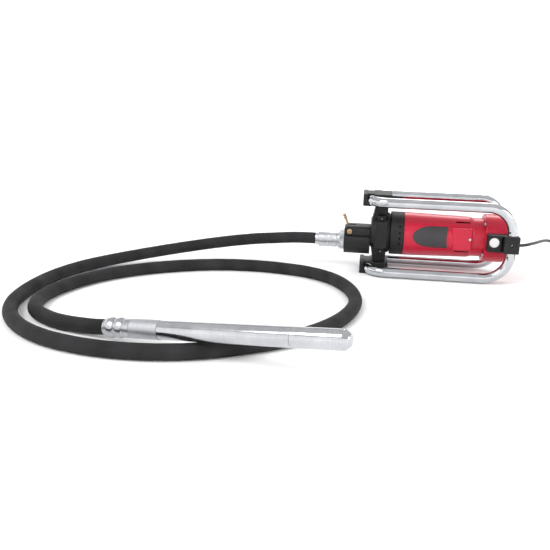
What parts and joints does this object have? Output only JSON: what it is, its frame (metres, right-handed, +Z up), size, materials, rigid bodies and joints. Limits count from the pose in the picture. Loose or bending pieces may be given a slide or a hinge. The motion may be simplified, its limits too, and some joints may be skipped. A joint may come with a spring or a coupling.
{
  "type": "concrete vibrator",
  "caption": "Hand-held electric concrete vibrator: red motor unit between bent chrome carrying hoops, a black flexible drive hose lying in a loop, and a steel vibrating head.",
  "frame": {"origin": "middle of the lower saddle's foot, on the ground", "axes": "+X along the motor's axis towards the mains lead's end, +Y away from the side with the badge in view, +Z up"},
  "size_m": [1.4106, 1.0177, 0.207],
  "materials": {
    "chrome_tube": "bright chrome plating",
    "black_plastic": "fine-textured black moulding",
    "black_casting": "die-cast aluminium painted satin black",
    "red_plastic": "glossy red moulding",
    "badge_grey": "plain dark grey plate",
    "zinc_steel": "turned, zinc-plated steel",
    "polished_steel": "ground and polished steel",
    "dark_steel": "machined steel",
    "brass": "turned brass",
    "copper": "copper windings and commutator bars",
    "white_plastic": "glossy white cap",
    "hose_rubber": "matt black rubber hose",
    "lead_rubber": "black rubber lead",
    "carbon": "pressed carbon"
  },
  "bodies": {
    "motor_unit": {"hoop_front": "chrome_tube", "hoop_back": "chrome_tube", "saddle_upper": "black_plastic", "saddle_lower": "black_plastic", "coupling_housing": "black_plastic", "vent_ring": "black_plastic", "side_clamp_front": "black_plastic", "side_clamp_back": "black_plastic", "switch_body": "black_plastic", "gearbox_yoke": "black_casting", "motor_housing": "red_plastic", "end_cap": "red_plastic", "badge_plate": "badge_grey", "yoke_screw_front_upper": "zinc_steel", "yoke_screw_front_lower": "zinc_steel", "yoke_screw_back_upper": "zinc_steel", "yoke_screw_back_lower": "zinc_steel", "bearing_plate": "zinc_steel", "connector_sleeve": "zinc_steel", "housing_screw": "zinc_steel", "end_cap_screw_1": "zinc_steel", "end_cap_screw_2": "zinc_steel", "end_cap_screw_3": "zinc_steel", "end_cap_screw_4": "zinc_steel", "hose_ferrule": "zinc_steel", "head_coupling": "zinc_steel", "head_tube": "polished_steel", "head_nose": "polished_steel", "spindle_bearing": "dark_steel", "stator_core": "dark_steel", "front_bearing": "dark_steel", "rear_bearing": "dark_steel", "head_bearing_rear": "dark_steel", "head_bearing_front": "dark_steel", "lever_pin": "brass", "brush_holder_upper": "brass", "brush_holder_lower": "brass", "plug_pin_left": "brass", "plug_pin_right": "brass", "field_coil_upper": "copper", "field_coil_lower": "copper", "clamp_bolt_front": "white_plastic", "clamp_bolt_back": "white_plastic", "drive_hose": "hose_rubber", "cable_gland": "lead_rubber", "power_cable": "lead_rubber", "cable_coil": "lead_rubber", "plug_body": "lead_rubber", "carbon_brush_upper": "carbon", "carbon_brush_lower": "carbon"},
    "armature": {"armature_shaft": "dark_steel", "armature_core": "copper", "commutator": "copper", "cooling_fan": "black_plastic"},
    "spindle": {"output_spindle": "zinc_steel", "driven_gear": "dark_steel", "core_end_fitting": "dark_steel"},
    "rotor": {"eccentric_rotor": "dark_steel"},
    "lever": {"lock_lever": "brass"},
    "rocker": {"switch_rocker": "black_plastic"}
  },
  "joints": [
    {"name": "armature_spin", "type": "hinge", "parent": "motor_unit", "child": "armature", "pos_m": [0.15, 0, 0.10325], "axis": [1, 0, 0], "continuous": true},
    {"name": "spindle_spin", "type": "hinge", "parent": "motor_unit", "child": "spindle", "pos_m": [0, 0, 0.07725], "axis": [1, 0, 0], "continuous": true},
    {"name": "rotor_spin", "type": "hinge", "parent": "motor_unit", "child": "rotor", "pos_m": [-0.4876, -0.6463, 0.02274], "axis": [0.9445, -0.3014, 0.1305], "continuous": true},
    {"name": "lever_turn", "type": "hinge", "parent": "motor_unit", "child": "lever", "pos_m": [-0.067, 0, 0.1065], "axis": [0, 1, 0], "range_deg": [0, 50]},
    {"name": "switch_rock", "type": "hinge", "parent": "motor_unit", "child": "rocker", "pos_m": [0.332, 0, 0.127], "axis": [0, 1, 0], "range_deg": [-18, 0]}
  ],
  "couplings": [
    {"joint": "spindle_spin", "follows": "armature_spin", "ratio": -0.73913},
    {"joint": "rotor_spin", "follows": "armature_spin", "ratio": 0.73913}
  ]
}
